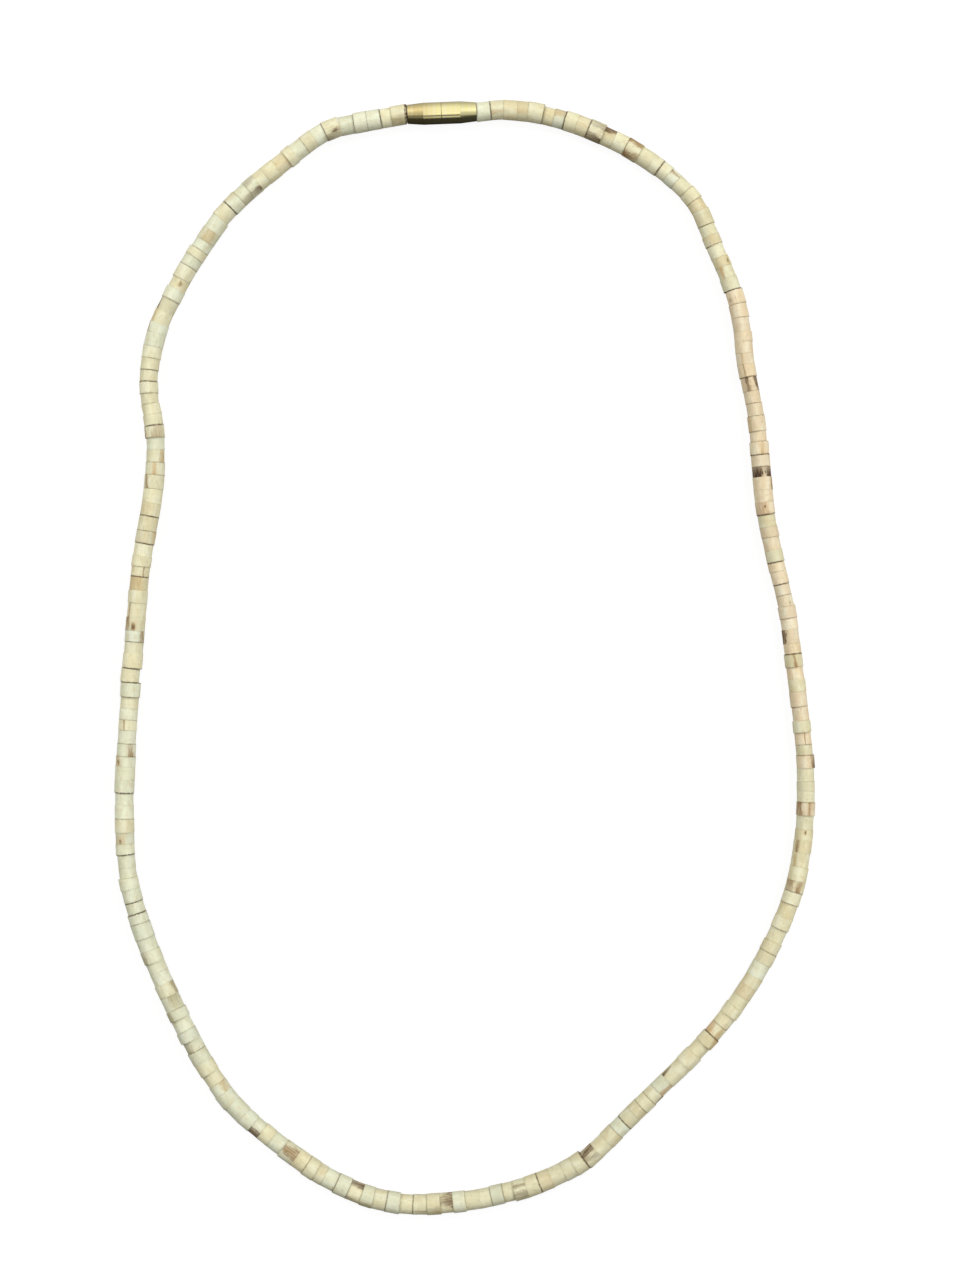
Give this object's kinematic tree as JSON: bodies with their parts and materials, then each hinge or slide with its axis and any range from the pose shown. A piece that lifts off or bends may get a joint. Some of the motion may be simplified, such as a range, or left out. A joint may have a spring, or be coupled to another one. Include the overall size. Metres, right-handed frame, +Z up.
{
  "type": "tulsi bead necklace",
  "caption": "Choker-length necklace of short turned pale wood beads strung close on one thread, closed by a brass screw barrel, lying flat as an open egg-shaped loop.",
  "frame": {"origin": "on the surface the necklace lies on, in the middle of the loop's outline", "axes": "+Z up from the surface, +Y along the loop's length towards the clasp, +X to the right seen from above"},
  "size_m": [0.1262, 0.2007, 0.0039],
  "materials": {
    "wood": "turned, unvarnished, matt",
    "thread": "twisted cotton",
    "brass": "turned and polished"
  },
  "bodies": {
    "root": {"bead_string": "wood", "thread": "thread", "clasp_screw": "brass", "clasp_socket": "brass"}
  },
  "joints": []
}
